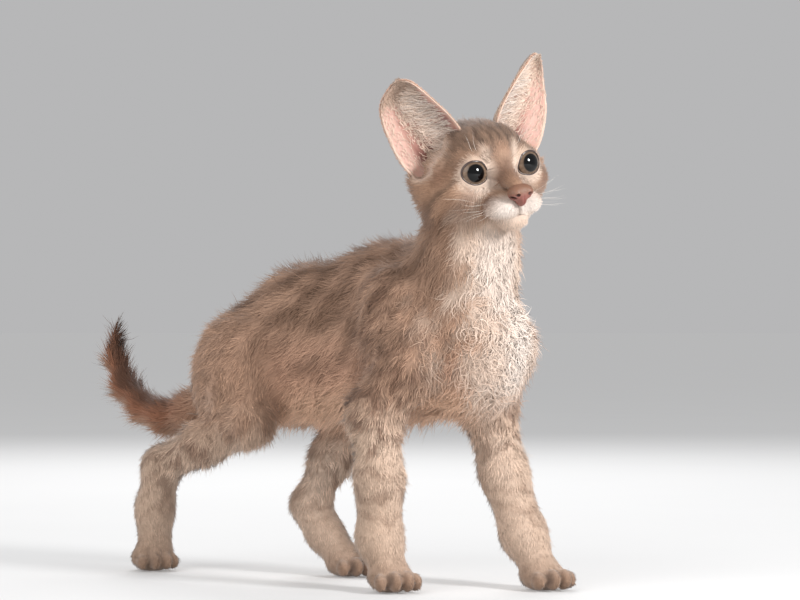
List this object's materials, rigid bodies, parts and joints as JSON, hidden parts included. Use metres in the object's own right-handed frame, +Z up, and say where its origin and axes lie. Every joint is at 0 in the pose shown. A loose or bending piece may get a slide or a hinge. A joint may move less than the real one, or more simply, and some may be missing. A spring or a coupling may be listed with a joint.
{
  "type": "devon rex kitten",
  "caption": "Life-size devon rex kitten, a still model walking with its head turned and its tail raised.",
  "frame": {"origin": "on the floor, under the centre of the bounding box", "axes": "+X forward along the body from the tail to the chest, +Y to the kitten's left, +Z up"},
  "size_m": [0.3386, 0.1132, 0.2913],
  "materials": {
    "coat": "wavy fawn-brown ticked fur",
    "pale_coat": "cream-beige wavy fur",
    "tail_coat": "dark reddish-brown brushy fur",
    "ear_skin": "thin pink skin with fine short hair",
    "nose_skin": "brick-pink bare skin",
    "eye": "wet eye, hazel-grey iris and large black pupil"
  },
  "bodies": {
    "root": {"head": "coat", "neck": "coat", "torso": "coat", "tail_base": "tail_coat", "tail_middle": "tail_coat", "tail_tip": "tail_coat", "ear_left": "ear_skin", "ear_right": "ear_skin", "eye_left": "eye", "eye_right": "eye", "nose": "nose_skin", "upper_arm_front_left": "coat", "upper_arm_front_right": "coat", "forearm_front_left": "pale_coat", "forearm_front_right": "pale_coat", "paw_front_left": "coat", "paw_front_right": "coat", "thigh_hind_left": "coat", "thigh_hind_right": "coat", "shank_hind_left": "pale_coat", "shank_hind_right": "pale_coat", "foot_hind_left": "pale_coat", "foot_hind_right": "pale_coat", "paw_hind_left": "coat", "paw_hind_right": "coat"}
  },
  "joints": []
}
